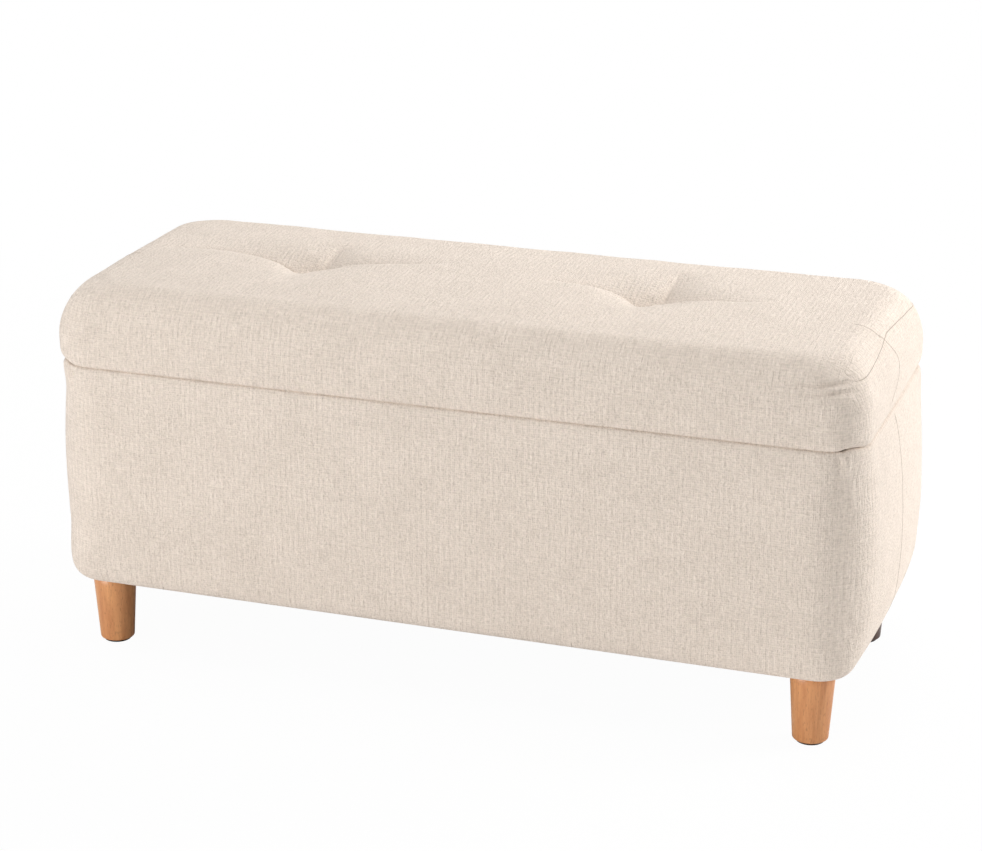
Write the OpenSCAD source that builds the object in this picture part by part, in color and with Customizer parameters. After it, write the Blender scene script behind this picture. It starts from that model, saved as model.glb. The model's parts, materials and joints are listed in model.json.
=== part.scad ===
// Upholstered storage bench: a padded plywood box on four turned legs, with a
// padded lid on two butt hinges and a pair of folding lid stays.
// Units are millimetres. The origin is on the floor under the middle of the
// bench, +X runs to the right, the front faces -Y and +Z is up.

/* [Overall size] */
// Length of the bench over the covered ends
body_w = 1092; // [1000:2:1200]
// Depth of the bench over the covered front and back
body_d = 426; // [410:2:480]
// Height of the underside of the upholstered base
base_z = 96; // [90:1:130]
// Height of the rim the lid closes on
rim_z = 398; // [370:1:430]
// Height of the lid cushion from the rim to its top edge
lid_h = 109; // [95:1:125]
// Rise of the lid cushion from its top edge to its middle
crown = 6; // [3:1:14]

/* [Upholstery] */
// Thickness of the woven cover
cover_t = 1.6; // [1.2:0.1:2]
// Plan radius of the soft upright corners
plan_r = 38; // [34:1:44]
// Padding outside the box at each end
end_pad = 40; // [36:1:46]
// Padding outside the box at the front and the back
face_pad = 20; // [19:0.5:24]
// Width of the big rounding on the top edge of the lid
top_round_w = 52; // [40:1:60]
// Height of the big rounding on the top edge of the lid
top_round_h = 66; // [55:1:72]
// Distance of the left tuft from the middle of the bench
tuft_left_x = 265; // [200:5:300]
// Distance of the right tuft from the middle of the bench
tuft_right_x = 207; // [200:5:300]

/* [Box] */
// Plywood thickness
ply = 12; // [10:1:14]
// Height of the cleats and corner blocks under the floor panel
cleat_h = 30; // [26:1:36]

/* [Legs] */
// Distance of the legs from the middle, left and right
leg_x = 482; // [440:1:484]
// Distance of the legs from the middle, front and back
leg_y = 165; // [150:1:165]
// Radius of a leg at the floor
leg_r_foot = 23; // [18:0.5:26]
// Radius of a leg where it meets the base
leg_r_top = 29; // [26:0.5:30]

/* [Hinges and stays] */
// Distance of each hinge from the middle
hinge_x = 330; // [250:5:400]
// Length of each hinge
hinge_len = 70; // [60:5:90]
// Width of the stay arms
arm_w = 14; // [12:1:16]

/* [Hidden] */
$fn = 48;
z0 = base_z;
z1 = rim_z;
zm = (z0 + z1) / 2;
z2 = z1 + lid_h;
t = cover_t;
gap = 0.2;
run = 0.05;
clear = 0.1;

// Box outside and inside half sizes
bx = body_w / 2 - end_pad;
by = body_d / 2 - face_pad;
ix = bx - ply;
iy = by - ply;
wall_lo = z0 + t + 0.9;
wall_hi = z1 - t - gap;
block_lo = z0 + t + 0.4;
block_hi = block_lo + cleat_h;
floor_lo = block_hi + 0.1;
floor_hi = floor_lo + ply;

// Lid levels
lid_lo = z1 + 3.8;
board_lo = lid_lo + t + gap;
board_hi = board_lo + ply;
board_x = body_w / 2 - 17;
board_y = body_d / 2 - 15;
lid_x = body_w / 2 - 4;
lid_y = body_d / 2 - 2;
lining_edge_y = body_d / 2 - 37;
tufts = [-tuft_left_x, tuft_right_x];

// Tufts: a toggle on the foam, twine through the board and a washer under it
toggle_z = z2 - 32;
toggle_r = 8;
toggle_h = 3;
twine_r = 1.2;
twine_lo = z1 + 5.1;
tuft_hole_r = 2;
washer_r = 10;
washer_h = 1.1;
washer_lo = z1 + 3.9;

// Hinge axis
hy = body_d / 2 - 4;
hz = z1 + 1.9;
pin_r = 1.4;
knuckle_r = 2.9;
leaf_t = 1.4;
knuckle_n = 5;
leaf_z = 0.4;
leaf_back = 30;
leaf_lap = 3.4;
knuckle_play = 0.4;

// Stay pivots as [y, z]; the four pivots make an exact parallelogram
stay_lid = [hy - 110, hz - 14];
stay_base = [hy - 45, hz - 90];
stay_knee = stay_base + stay_lid - [hy, hz];
rivet_r = 2.5;
rivet_head_r = 4.5;

// Layers of a stay, as distances [near, far] from the end wall
base_plate_x = [3.1, 4.9];
lower_arm_x = [5.3, 7.3];
upper_arm_x = [7.8, 9.8];
lid_plate_x = [10.3, 12.3];
lid_foot_z = [z1 + 0.9, z1 + 2.7];

// Countersunk screws, as [radius, length, head radius, head height]
panel_screw = [2, 38, 4, 2];
cleat_screw = [2, 30, 4, 2];
hinge_base_screw = [1.7, 20, 3.2, 1.4];
hinge_lid_screw = [1.7, 13, 3.2, 1.4];
stay_base_screw = [1.7, 14, 3.4, 1.8];
stay_lid_screw = [1.7, 15, 3.4, 1.8];
pilot_r = 1.9;

// Leg bolts, their nuts and the glides
bolt_r = 4;
bolt_in_leg = 34;
bolt_hole_r = 4.4;
nut_r = 5.5;
nut_h = 11;
flange_r = 10.5;
flange_h = 1.6;
glide_r = 18;
glide_h = 3;
glide_pin_r = 1.5;
glide_pin_h = 16;
foot_chamfer = [1.6, 2];

// Colours
linen = [0.86, 0.80, 0.73];
foam_c = [0.94, 0.92, 0.82];
ply_c = [0.80, 0.66, 0.46];
beech = [0.80, 0.58, 0.40];
dark_wood = [0.32, 0.23, 0.19];
steel = [0.70, 0.71, 0.73];
black = [0.10, 0.10, 0.10];
cloth_c = [0.80, 0.78, 0.74];

// ---------- helpers ----------
corner_steps = 5;

// Inset of an elliptical rounding, a wide and b tall, at distance d from its edge
function rounding(d, a, b) = d >= b ? 0 : a * (1 - sqrt(1 - pow(1 - max(d, 0) / b, 2)));

// One rounded-rectangle ring of points at height z
function ring(hx, hy, r, z) = [
    for (q = [0:3]) for (i = [0:corner_steps])
        let (a = 90 * q + 90 * i / corner_steps,
             sx = (q == 0 || q == 3) ? 1 : -1, sy = q < 2 ? 1 : -1)
        [sx * (hx - r) + r * cos(a), sy * (hy - r) + r * sin(a), z]];

// Surface through a list of rings, closed on itself or capped at both ends
module skin(rings, loop = false) {
    n = len(rings[0]);
    m = len(rings);
    last = loop ? m - 1 : m - 2;
    sides = [for (k = [0:last]) for (j = [0:n - 1])
        let (a = k * n, b = ((k + 1) % m) * n, j2 = (j + 1) % n)
        each [[a + j, b + j, b + j2], [a + j, b + j2, a + j2]]];
    caps = loop ? [] : [[for (j = [0:n - 1]) j], [for (j = [n - 1:-1:0]) (m - 1) * n + j]];
    polyhedron(points = [for (r = rings) each r], faces = concat(sides, caps), convexity = 8);
}

// Slab with round corners, centred in plan
module slab(hx, hy, r, lo, hi) {
    translate([-hx + r, -hy, lo]) cube([2 * (hx - r), 2 * hy, hi - lo]);
    translate([-hx, -hy + r, lo]) cube([2 * hx, 2 * (hy - r), hi - lo]);
    for (sx = [-1, 1], sy = [-1, 1])
        translate([sx * (hx - r), sy * (hy - r), lo]) cylinder(h = hi - lo, r = r);
}

module box(x0, x1, y0, y1, zlo, zhi) {
    translate([x0, y0, zlo]) cube([x1 - x0, y1 - y0, zhi - zlo]);
}

// Countersunk screw along +Z from its head's face at 0, and the hole for it
module screw(s) {
    cylinder(h = s[3], r1 = s[2], r2 = s[0]);
    translate([0, 0, s[3]]) cylinder(h = s[1] - s[3], r = s[0]);
}
module screw_hole(s) {
    overlap = 0.01;
    end_play = 0.3;
    translate([0, 0, -1]) cylinder(h = 1.001, r = s[2] + run);
    cylinder(h = s[3], r1 = s[2] + run, r2 = s[0] + run);
    translate([0, 0, s[3] - overlap]) cylinder(h = s[1] - s[3] + end_play, r = s[0] + run);
}

module on_side(s) { mirror([s < 0 ? 1 : 0, 0, 0]) children(); }
module corners() {
    for (sx = [-1, 1], sy = [-1, 1]) translate([sx * leg_x, sy * leg_y, 0]) children();
}

// ---------- shape of the covered base ----------
end_round = [20, 65];
face_round = [12, 20];
function base_end_inset(z) = rounding(z - z0, end_round[0], end_round[1])
    + 6 * pow((z - zm) / (z1 - zm), 2) + rounding(z1 - z, 9, 10);
function base_face_inset(z) = rounding(z - z0, face_round[0], face_round[1])
    + 3 * pow((z - zm) / (z1 - zm), 2) + rounding(z1 - z, 7, 8);
base_levels = [z0, z0 + 0.8, z0 + 2.5, z0 + 6, z0 + 12, z0 + 20, z0 + 38, z0 + 65,
    (z0 + 65 + zm) / 2, zm, (zm + z1 - 10) / 2, z1 - 10, z1 - 6, z1 - 3, z1 - 1.2, z1];
function base_ring(z, m) = ring(body_w / 2 - base_end_inset(z) - m,
    body_d / 2 - base_face_inset(z) - m, plan_r - m,
    z0 + m + (z - z0) * (z1 - z0 - 2 * m) / (z1 - z0));
module base_shape(m) { skin([for (z = base_levels) base_ring(z, m)]); }

// ---------- shape of the lid cushion ----------
lid_levels = [0, 0.8, 2.5, 6, 10];
lid_corner_r = 40;
lid_arc = [0, 18, 36, 54, 72, 90];
function lid_bottom(d, m) = ring(lid_x - rounding(d, 10, 10) - m,
    lid_y - rounding(d, 8, 10) - m, lid_corner_r - m, lid_lo + max(d, m));
function lid_side(a, m) = let (f = 1 - cos(a))
    ring(lid_x - f * top_round_w - m * cos(a), lid_y - f * top_round_w - m * cos(a),
         lid_corner_r - m, z2 - top_round_h + (top_round_h - m) * sin(a));
function lid_top(u, m) = let (d = top_round_w + u * (lid_y - top_round_w - 24))
    ring(lid_x - d, lid_y - d, 38 - 16 * u, z2 - m + crown * (1 - pow(1 - u, 2)));
function lid_rings(m) = concat([for (d = lid_levels) lid_bottom(d, m)],
    [for (a = lid_arc) lid_side(a, m)], [for (u = [0.3, 0.65, 1]) lid_top(u, m)]);
function reversed(v) = [for (i = [len(v) - 1:-1:0]) v[i]];

// ---------- plywood box ----------
module panel_screw_spots() {
    for (sx = [-1, 1], sy = [-1, 1], z = [z0 + 55, zm, z1 - 60])
        translate([sx * (ix + ply / 2), sy * by, z]) rotate([sy * 90, 0, 0]) children();
}
module stay_base_screw_spots() {
    for (s = [-1, 1], dz = [-16, 16]) on_side(s)
        translate([ix - base_plate_x[1], stay_base[0], stay_base[1] + dz]) rotate([0, 90, 0]) children();
}
module hinge_screw_spots(z) {
    for (s = [-1, 1], dx = [-24, 0, 24])
        translate([s * hinge_x + dx, iy + ply / 2, z]) children();
}
module floor_screw_spots() {
    for (x = [-300, 0, 300], sy = [-1, 1])
        translate([x, sy * (iy - 10), floor_hi]) rotate([180, 0, 0]) children();
}

module long_panel(s) {
    color(ply_c) difference() {
        box(-bx, bx, min(s * iy, s * by), max(s * iy, s * by), wall_lo, wall_hi);
        panel_screw_spots() screw_hole(panel_screw);
        hinge_screw_spots(hz - leaf_z) rotate([180, 0, 0]) screw_hole(hinge_base_screw);
    }
}
module end_panel(s) {
    color(ply_c) difference() {
        box(min(s * ix, s * bx), max(s * ix, s * bx), -iy + 0.1, iy - 0.1, wall_lo, wall_hi);
        panel_screw_spots() screw_hole(panel_screw);
        stay_base_screw_spots() screw_hole(stay_base_screw);
    }
}
module front_panel() { long_panel(-1); }
module back_panel() { long_panel(1); }
module left_end_panel() { end_panel(-1); }
module right_end_panel() { end_panel(1); }

module floor_panel() {
    color(ply_c) difference() {
        box(-ix + 0.3, ix - 0.3, -iy + 0.3, iy - 0.3, floor_lo, floor_hi);
        floor_screw_spots() screw_hole(cleat_screw);
    }
}
block = [90, 80];
module floor_cleats() {
    color(ply_c) {
        difference() {
            for (s = [-1, 1])
                box(-ix + block[0] + 0.5, ix - block[0] - 0.5, s > 0 ? iy - 20 : -iy + 0.1,
                    s > 0 ? iy - 0.1 : -iy + 20, block_lo, block_hi);
            floor_screw_spots() screw_hole(cleat_screw);
        }
        for (s = [-1, 1])
            box(s > 0 ? ix - 20 : -ix + 0.1, s > 0 ? ix - 0.1 : -ix + 20,
                -iy + block[1] + 0.5, iy - block[1] - 0.5, block_lo, block_hi);
    }
}
module corner_blocks() {
    color(ply_c) difference() {
        for (sx = [-1, 1], sy = [-1, 1])
            box(sx > 0 ? ix - block[0] : -ix + 0.1, sx > 0 ? ix - 0.1 : -ix + block[0],
                sy > 0 ? iy - block[1] : -iy + 0.1, sy > 0 ? iy - 0.1 : -iy + block[1],
                block_lo, block_hi);
        corners() translate([0, 0, block_lo - 1]) cylinder(h = cleat_h + 2, r = bolt_hole_r);
        corners() translate([0, 0, block_hi - nut_h - 1]) cylinder(h = nut_h + 2, r = nut_r + run);
        corners() translate([0, 0, nut_top - flange_h - clear]) cylinder(h = 3, r = flange_r + run);
    }
}
module panel_screws() { color(steel) panel_screw_spots() screw(panel_screw); }
module floor_screws() { color(steel) floor_screw_spots() screw(cleat_screw); }

// ---------- legs ----------
leg_hi = z0 - 1.2;
nut_lo = block_hi - nut_h - 0.9;
nut_top = block_hi - 0.3;
module t_nuts() {
    color(steel) corners() difference() {
        union() {
            translate([0, 0, nut_lo]) cylinder(h = nut_h, r = nut_r);
            translate([0, 0, nut_top - flange_h]) cylinder(h = flange_h, r = flange_r);
        }
        translate([0, 0, nut_lo - 1]) cylinder(h = nut_h + 3, r = bolt_r + run);
    }
}
module hanger_bolts() {
    color(steel) corners() translate([0, 0, leg_hi - bolt_in_leg])
        cylinder(h = block_hi - 1 - leg_hi + bolt_in_leg, r = bolt_r);
}
foot_lo = glide_h + clear;
foot_hi = foot_lo + foot_chamfer[1];
module leg(sx, sy, c) {
    color(c) translate([sx * leg_x, sy * leg_y, 0]) difference() {
        union() {
            translate([0, 0, foot_lo])
                cylinder(h = foot_chamfer[1], r1 = leg_r_foot - foot_chamfer[0], r2 = leg_r_foot);
            translate([0, 0, foot_hi]) cylinder(h = leg_hi - foot_hi, r1 = leg_r_foot, r2 = leg_r_top);
        }
        translate([0, 0, leg_hi - bolt_in_leg - 1]) cylinder(h = bolt_in_leg + 2, r = bolt_r + run);
        translate([0, 0, glide_h - 1]) cylinder(h = glide_pin_h - 1, r = glide_pin_r + run);
    }
}
module front_left_leg() { leg(-1, -1, beech); }
module front_right_leg() { leg(1, -1, beech); }
module rear_left_leg() { leg(-1, 1, dark_wood); }
module rear_right_leg() { leg(1, 1, dark_wood); }
module leg_glides() {
    color(black) corners() {
        cylinder(h = glide_h, r = glide_r);
        cylinder(h = glide_pin_h, r = glide_pin_r);
    }
}

// ---------- base upholstery ----------
pad_gap = t + 0.3;
pad_lo = z0 + 4;
pad_hi = z1 - 3;
hem_down = 35;
module front_foam() {
    color(foam_c) intersection() {
        base_shape(pad_gap);
        box(-body_w, body_w, -body_d, -by - gap, pad_lo, pad_hi);
    }
}
module back_foam() {
    color(foam_c) intersection() {
        base_shape(pad_gap);
        box(-body_w, body_w, by + gap, body_d, pad_lo, pad_hi);
    }
}
module right_foam() {
    color(foam_c) intersection() {
        base_shape(pad_gap);
        box(bx + gap, body_w, -by, by, pad_lo, pad_hi);
    }
}
module left_foam() { mirror([1, 0, 0]) right_foam(); }

module base_cover() {
    outer = [for (z = base_levels) base_ring(z, 0)];
    inner = [for (z = base_levels) base_ring(z, t)];
    hem_x = bx - 16;
    hem_y = by - 21;
    turn_x = ix - clear;
    turn_y = iy - clear;
    color(linen) skin(concat(
        [ring(hem_x, hem_y, 5, z0)], outer,
        [ring(turn_x - t, turn_y - t, 0.3, z1), ring(turn_x - t, turn_y - t, 0.3, z1 - hem_down),
         ring(turn_x, turn_y, 2, z1 - hem_down), ring(turn_x, turn_y, 2, z1 - t)],
        reversed(inner), [ring(hem_x, hem_y, 5, z0 + t)]), true);
}
lining_t = 1;
module base_lining() {
    lx = ix - 1.9;
    ly = iy - 1.9;
    color(cloth_c) difference() {
        box(-lx, lx, -ly, ly, floor_hi + gap, z1 - 12);
        box(-lx + lining_t, lx - lining_t, -ly + lining_t, ly - lining_t, floor_hi + gap + lining_t, z1);
        stay_base_screw_spots() translate([0, 0, 1]) cylinder(h = 4, r = pilot_r);
    }
}
module dust_cover() {
    color(black) difference() {
        slab(bx - 4, by - 4, 12, z0 - 1, z0 - 0.2);
        corners() translate([0, 0, z0 - 2]) cylinder(h = 3, r = 5);
    }
}
module staple(len) {
    translate([-5, -0.6, -0.45]) cube([10, 1.2, 0.45]);
    for (s = [-1, 1]) translate([s * 4.4 - 0.6, -0.6, -0.1]) cube([1.2, 1.2, len]);
}
module base_staples() {
    color(steel) {
        for (x = [-390:78:390], s = [-1, 1]) translate([x, s * (by - 6), z0 - 1]) staple(9);
        for (y = [-100:50:100], s = [-1, 1])
            translate([s * (bx - 6), y, z0 - 1]) rotate([0, 0, 90]) staple(9);
    }
}
module rim_bumpers() {
    color(cloth_c) for (sx = [-1, 1], sy = [-1, 1])
        translate([sx * (ix - 30), sy * (iy + ply / 2), z1 + 0.1]) cylinder(h = 3.3, r = 6);
}

// ---------- hinges ----------
knuckle = hinge_len / knuckle_n;
module barrel(odd) {
    for (k = [0:knuckle_n - 1]) if (k % 2 == odd)
        translate([-hinge_len / 2 + k * knuckle + (k == 0 ? 0 : knuckle_play / 2), 0, 0]) children();
}
// One leaf around the axis: side -1 hangs on the base, 1 on the lid
module leaf(side) {
    odd = side < 0 ? 0 : 1;
    zc = side < 0 ? -leaf_z - leaf_t : leaf_z;
    difference() {
        union() {
            translate([-hinge_len / 2, -leaf_back, zc]) cube([hinge_len, leaf_back - leaf_lap, leaf_t]);
            barrel(odd) translate([0, -4, zc]) cube([knuckle - knuckle_play, 4, leaf_t]);
            barrel(odd) rotate([0, 90, 0]) cylinder(h = knuckle - knuckle_play, r = knuckle_r);
        }
        translate([-hinge_len, 0, 0]) rotate([0, 90, 0]) cylinder(h = 2 * hinge_len, r = pin_r + run);
    }
}
module hinge_base_leaves() {
    color(steel) difference() {
        for (s = [-1, 1]) translate([s * hinge_x, hy, hz]) leaf(-1);
        hinge_screw_spots(hz - leaf_z) rotate([180, 0, 0]) screw_hole(hinge_base_screw);
    }
}
module hinge_lid_leaves() {
    color(steel) difference() {
        for (s = [-1, 1]) translate([s * hinge_x, hy, hz]) leaf(1);
        hinge_screw_spots(hz + leaf_z) screw_hole(hinge_lid_screw);
    }
}
module hinge_pins() {
    color(steel) for (s = [-1, 1]) translate([s * hinge_x - hinge_len / 2 - 0.6, hy, hz])
        rotate([0, 90, 0]) cylinder(h = hinge_len + 0.8, r = pin_r);
}
module hinge_base_screws() {
    color(steel) hinge_screw_spots(hz - leaf_z) rotate([180, 0, 0]) screw(hinge_base_screw);
}
module hinge_lid_screws() { color(steel) hinge_screw_spots(hz + leaf_z) screw(hinge_lid_screw); }

// ---------- lid stays ----------
// Bar from pivot p to pivot q, [y, z] each, in a layer given as distances from the end wall
module bar(p, q, layer) {
    near = layer[0];
    far = layer[1];
    len_pq = norm(q - p);
    a = atan2(q[1] - p[1], q[0] - p[0]);
    difference() {
        union() {
            translate([ix - far, p[0], p[1]]) rotate([a, 0, 0]) translate([0, 0, -arm_w / 2])
                cube([far - near, len_pq, arm_w]);
            pivot(p, near, far, arm_w / 2);
            pivot(q, near, far, arm_w / 2);
        }
        pivot(p, near - 1, far + 1, rivet_r + run);
        pivot(q, near - 1, far + 1, rivet_r + run);
    }
}
module pivot(p, near, far, r) {
    translate([ix - far, p[0], p[1]]) rotate([0, 90, 0]) cylinder(h = far - near, r = r);
}
module stay_bracket_base(s) {
    color(steel) on_side(s) difference() {
        box(ix - base_plate_x[1], ix - base_plate_x[0], stay_base[0] - 11, stay_base[0] + 11,
            stay_base[1] - 24, stay_base[1] + 24);
        pivot(stay_base, base_plate_x[0] - 1, base_plate_x[1] + 1, rivet_r + run);
        for (dz = [-16, 16]) translate([ix - base_plate_x[1], stay_base[0], stay_base[1] + dz])
            rotate([0, 90, 0]) screw_hole(stay_base_screw);
    }
}
module stay_lid_screw_spots() {
    for (dy = [-14, 14]) translate([ix - 23, stay_lid[0] + dy, lid_foot_z[0]]) children();
}
module stay_bracket_lid(s) {
    color(steel) on_side(s) difference() {
        union() {
            box(ix - lid_plate_x[1], ix - lid_plate_x[0], stay_lid[0] - 12, stay_lid[0] + 12,
                stay_lid[1], lid_foot_z[1]);
            pivot(stay_lid, lid_plate_x[0], lid_plate_x[1], 12);
            box(ix - 34, ix - lid_plate_x[0], stay_lid[0] - 22, stay_lid[0] + 22,
                lid_foot_z[0], lid_foot_z[1]);
        }
        pivot(stay_lid, lid_plate_x[0] - 1, lid_plate_x[1] + 1, rivet_r + run);
        stay_lid_screw_spots() screw_hole(stay_lid_screw);
    }
}
module left_stay_base_bracket() { stay_bracket_base(-1); }
module right_stay_base_bracket() { stay_bracket_base(1); }
module left_stay_lid_bracket() { stay_bracket_lid(-1); }
module right_stay_lid_bracket() { stay_bracket_lid(1); }
module left_stay_lower_arm() { color(steel) on_side(-1) bar(stay_base, stay_knee, lower_arm_x); }
module right_stay_lower_arm() { color(steel) on_side(1) bar(stay_base, stay_knee, lower_arm_x); }
module left_stay_upper_arm() { color(steel) on_side(-1) bar(stay_lid, stay_knee, upper_arm_x); }
module right_stay_upper_arm() { color(steel) on_side(1) bar(stay_lid, stay_knee, upper_arm_x); }
rivet_play = 0.35;
rivet_head_h = 1;
module rivet_head(p, near) { pivot(p, near, near + rivet_head_h, rivet_head_r); }
module stay_base_rivets() {
    color(steel) for (s = [-1, 1]) on_side(s) {
        pivot(stay_base, base_plate_x[0], lower_arm_x[1] + rivet_play, rivet_r);
        rivet_head(stay_base, lower_arm_x[1] + 0.2);
    }
}
module stay_lid_rivets() {
    color(steel) for (s = [-1, 1]) on_side(s) {
        pivot(stay_lid, upper_arm_x[0] - rivet_play, lid_plate_x[1] + rivet_play, rivet_r);
        rivet_head(stay_lid, upper_arm_x[0] - 0.3 - rivet_head_h);
        rivet_head(stay_lid, lid_plate_x[1] + 0.2);
    }
}
module knee_rivet(s) {
    color(steel) on_side(s) {
        pivot(stay_knee, lower_arm_x[0] - rivet_play, upper_arm_x[1] + rivet_play, rivet_r);
        rivet_head(stay_knee, lower_arm_x[0] - 0.2 - rivet_head_h);
        rivet_head(stay_knee, upper_arm_x[1] + 0.3);
    }
}
module left_knee_rivet() { knee_rivet(-1); }
module right_knee_rivet() { knee_rivet(1); }
module stay_base_screws() { color(steel) stay_base_screw_spots() screw(stay_base_screw); }
module stay_lid_screws() {
    color(steel) for (s = [-1, 1]) on_side(s) stay_lid_screw_spots() screw(stay_lid_screw);
}

// ---------- lid ----------
module lid_board() {
    color(ply_c) difference() {
        slab(board_x, board_y, 30, board_lo, board_hi);
        for (x = tufts) translate([x, 0, board_lo - 1]) cylinder(h = ply + 2, r = tuft_hole_r);
        hinge_screw_spots(hz + leaf_z) screw_hole(hinge_lid_screw);
        for (s = [-1, 1]) on_side(s) stay_lid_screw_spots() screw_hole(stay_lid_screw);
    }
}
module lid_foam() {
    color(foam_c) difference() {
        skin(lid_rings(t + 0.3));
        slab(board_x + gap, board_y + gap, 30 + gap, lid_lo - 5, board_hi + gap);
        for (x = tufts) {
            translate([x, 0, board_lo]) cylinder(h = toggle_z - board_lo, r = tuft_hole_r);
            translate([x, 0, toggle_z - gap]) cylinder(h = toggle_h + 2 * gap, r = toggle_r + gap);
        }
    }
}
module lid_cover() {
    hem_x = lid_x - 42;
    hem_y = lid_y - 43;
    color(linen) skin(concat(reversed(lid_rings(t)),
        [ring(hem_x, hem_y, 5, lid_lo + t), ring(hem_x, hem_y, 5, lid_lo)], lid_rings(0)));
}
module lid_lining() {
    color(cloth_c) difference() {
        slab(ix + 14, lining_edge_y, 10, z1 + 2.9, z1 + 3.7);
        for (s = [-1, 1]) on_side(s) stay_lid_screw_spots() cylinder(h = 6, r = pilot_r);
    }
}
module tuft_toggles() {
    color(black) for (x = tufts) translate([x, 0, toggle_z]) cylinder(h = toggle_h, r = toggle_r);
}
module tuft_twines() {
    color(cloth_c) for (x = tufts) translate([x, 0, twine_lo])
        cylinder(h = toggle_z - twine_lo - run, r = twine_r);
}
module tuft_washers() {
    color(steel) for (x = tufts) translate([x, 0, washer_lo]) cylinder(h = washer_h, r = washer_r);
}
module lid_staples() {
    color(steel) {
        for (x = [-480:80:480]) {
            translate([x, -lid_y + 30, lid_lo - 0.05]) staple(8);
            if (abs(abs(x) - hinge_x) > hinge_len / 2 + 8)
                translate([x, lid_y - 30, lid_lo - 0.05]) staple(8);
        }
        for (y = [-120:60:120], s = [-1, 1])
            translate([s * (lid_x - 26), y, lid_lo - 0.05]) rotate([0, 0, 90]) staple(8);
    }
}

// ---------- assembly ----------

front_panel();
back_panel();
left_end_panel();
right_end_panel();
floor_panel();
floor_cleats();
corner_blocks();
panel_screws();
floor_screws();
t_nuts();
hanger_bolts();
front_left_leg();
front_right_leg();
rear_left_leg();
rear_right_leg();
leg_glides();
front_foam();
back_foam();
left_foam();
right_foam();
base_cover();
base_lining();
dust_cover();
base_staples();
rim_bumpers();
hinge_base_leaves();
hinge_lid_leaves();
hinge_pins();
hinge_base_screws();
hinge_lid_screws();
left_stay_base_bracket();
right_stay_base_bracket();
left_stay_lid_bracket();
right_stay_lid_bracket();
left_stay_lower_arm();
right_stay_lower_arm();
left_stay_upper_arm();
right_stay_upper_arm();
stay_base_rivets();
stay_lid_rivets();
left_knee_rivet();
right_knee_rivet();
stay_base_screws();
stay_lid_screws();
lid_board();
lid_foam();
lid_cover();
lid_lining();
tuft_toggles();
tuft_twines();
tuft_washers();
lid_staples();
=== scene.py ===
"""The looks of an upholstered storage bench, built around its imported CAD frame.

Everything is in metres in the CAD frame: +X right, the front faces -Y, +Z up, floor at z = 0.
"""
import json
import math

import bmesh
import bpy
import numpy as np
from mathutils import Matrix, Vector, noise
from mathutils.bvhtree import BVHTree


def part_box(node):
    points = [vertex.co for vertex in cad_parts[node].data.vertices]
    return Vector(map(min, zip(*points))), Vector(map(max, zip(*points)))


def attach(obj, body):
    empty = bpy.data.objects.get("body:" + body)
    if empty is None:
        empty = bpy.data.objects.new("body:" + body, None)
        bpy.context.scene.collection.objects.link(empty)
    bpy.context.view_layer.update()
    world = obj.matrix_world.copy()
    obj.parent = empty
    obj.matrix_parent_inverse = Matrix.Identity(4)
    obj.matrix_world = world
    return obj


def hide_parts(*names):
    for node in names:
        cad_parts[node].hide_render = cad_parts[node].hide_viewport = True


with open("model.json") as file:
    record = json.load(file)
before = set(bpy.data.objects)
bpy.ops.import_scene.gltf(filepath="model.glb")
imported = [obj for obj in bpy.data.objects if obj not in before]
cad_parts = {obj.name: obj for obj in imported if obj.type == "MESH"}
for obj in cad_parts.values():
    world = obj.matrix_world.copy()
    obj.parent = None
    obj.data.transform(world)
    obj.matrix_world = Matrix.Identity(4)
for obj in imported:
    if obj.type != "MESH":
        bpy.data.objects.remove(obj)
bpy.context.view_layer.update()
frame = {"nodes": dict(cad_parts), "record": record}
MM = 0.001

# ---------- sizes taken from the frame ----------
base_lo, base_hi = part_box("base_cover")
lid_box_lo, lid_box_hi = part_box("lid_cover")
board_lo, board_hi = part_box("lid_board")
panel_lo, panel_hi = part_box("right_end_panel")
long_lo, long_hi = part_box("front_panel")
toggle_lo, toggle_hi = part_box("tuft_toggles")
INNER_X = panel_lo.x                     # inside faces of the plywood box
INNER_Y = -long_hi.y
BOX_X = panel_hi.x                       # outside faces of the plywood box
BOX_Y = -long_lo.y
RIM = base_hi.z
BASE_LOW = base_lo.z
BASE_MID = (RIM + BASE_LOW) / 2
HALF_X = base_hi.x
HALF_Y = base_hi.y
LID_X = lid_box_hi.x
LID_Y = lid_box_hi.y
LID_LOW = lid_box_lo.z
CROWN = 6 * MM                           # rise of the lid's top from its edge to its middle
LID_R = 52 * MM                          # plan radius of the lid's soft corners
LID_EDGE = lid_box_hi.z - CROWN
ROUND_W = 52 * MM                        # width and height of the rounding along the lid's top edge
ROUND_H = 76 * MM
COVER = 1.6 * MM                         # thickness of the linen
LID_CORNER_LIFT = 6 * MM                 # how much the lid's edge rises at its front corners
BASE_CORNER_LIFT = 5 * MM                # and how much the base's rim swells up to meet it
LIP = 2.1 * MM                           # how far the soft edges of lid and base swell into the joint
END_CROWN = 13 * MM                      # how far the ends of the base swell out
TOGGLE_R = 8 * MM
TUFT_DEPTH = 32 * MM                     # the deepest that a tuft draws the cover down
# each tuft: x, y, reach of its left crease, reach and rise of its right crease, reach of its back crease
TUFTS = [(toggle_lo.x + TOGGLE_R, 2 * MM, 240 * MM, 200 * MM, 34 * MM, 100 * MM),
         (toggle_hi.x - TOGGLE_R, 2 * MM, 150 * MM, 160 * MM, 6 * MM, 120 * MM)]


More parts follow.
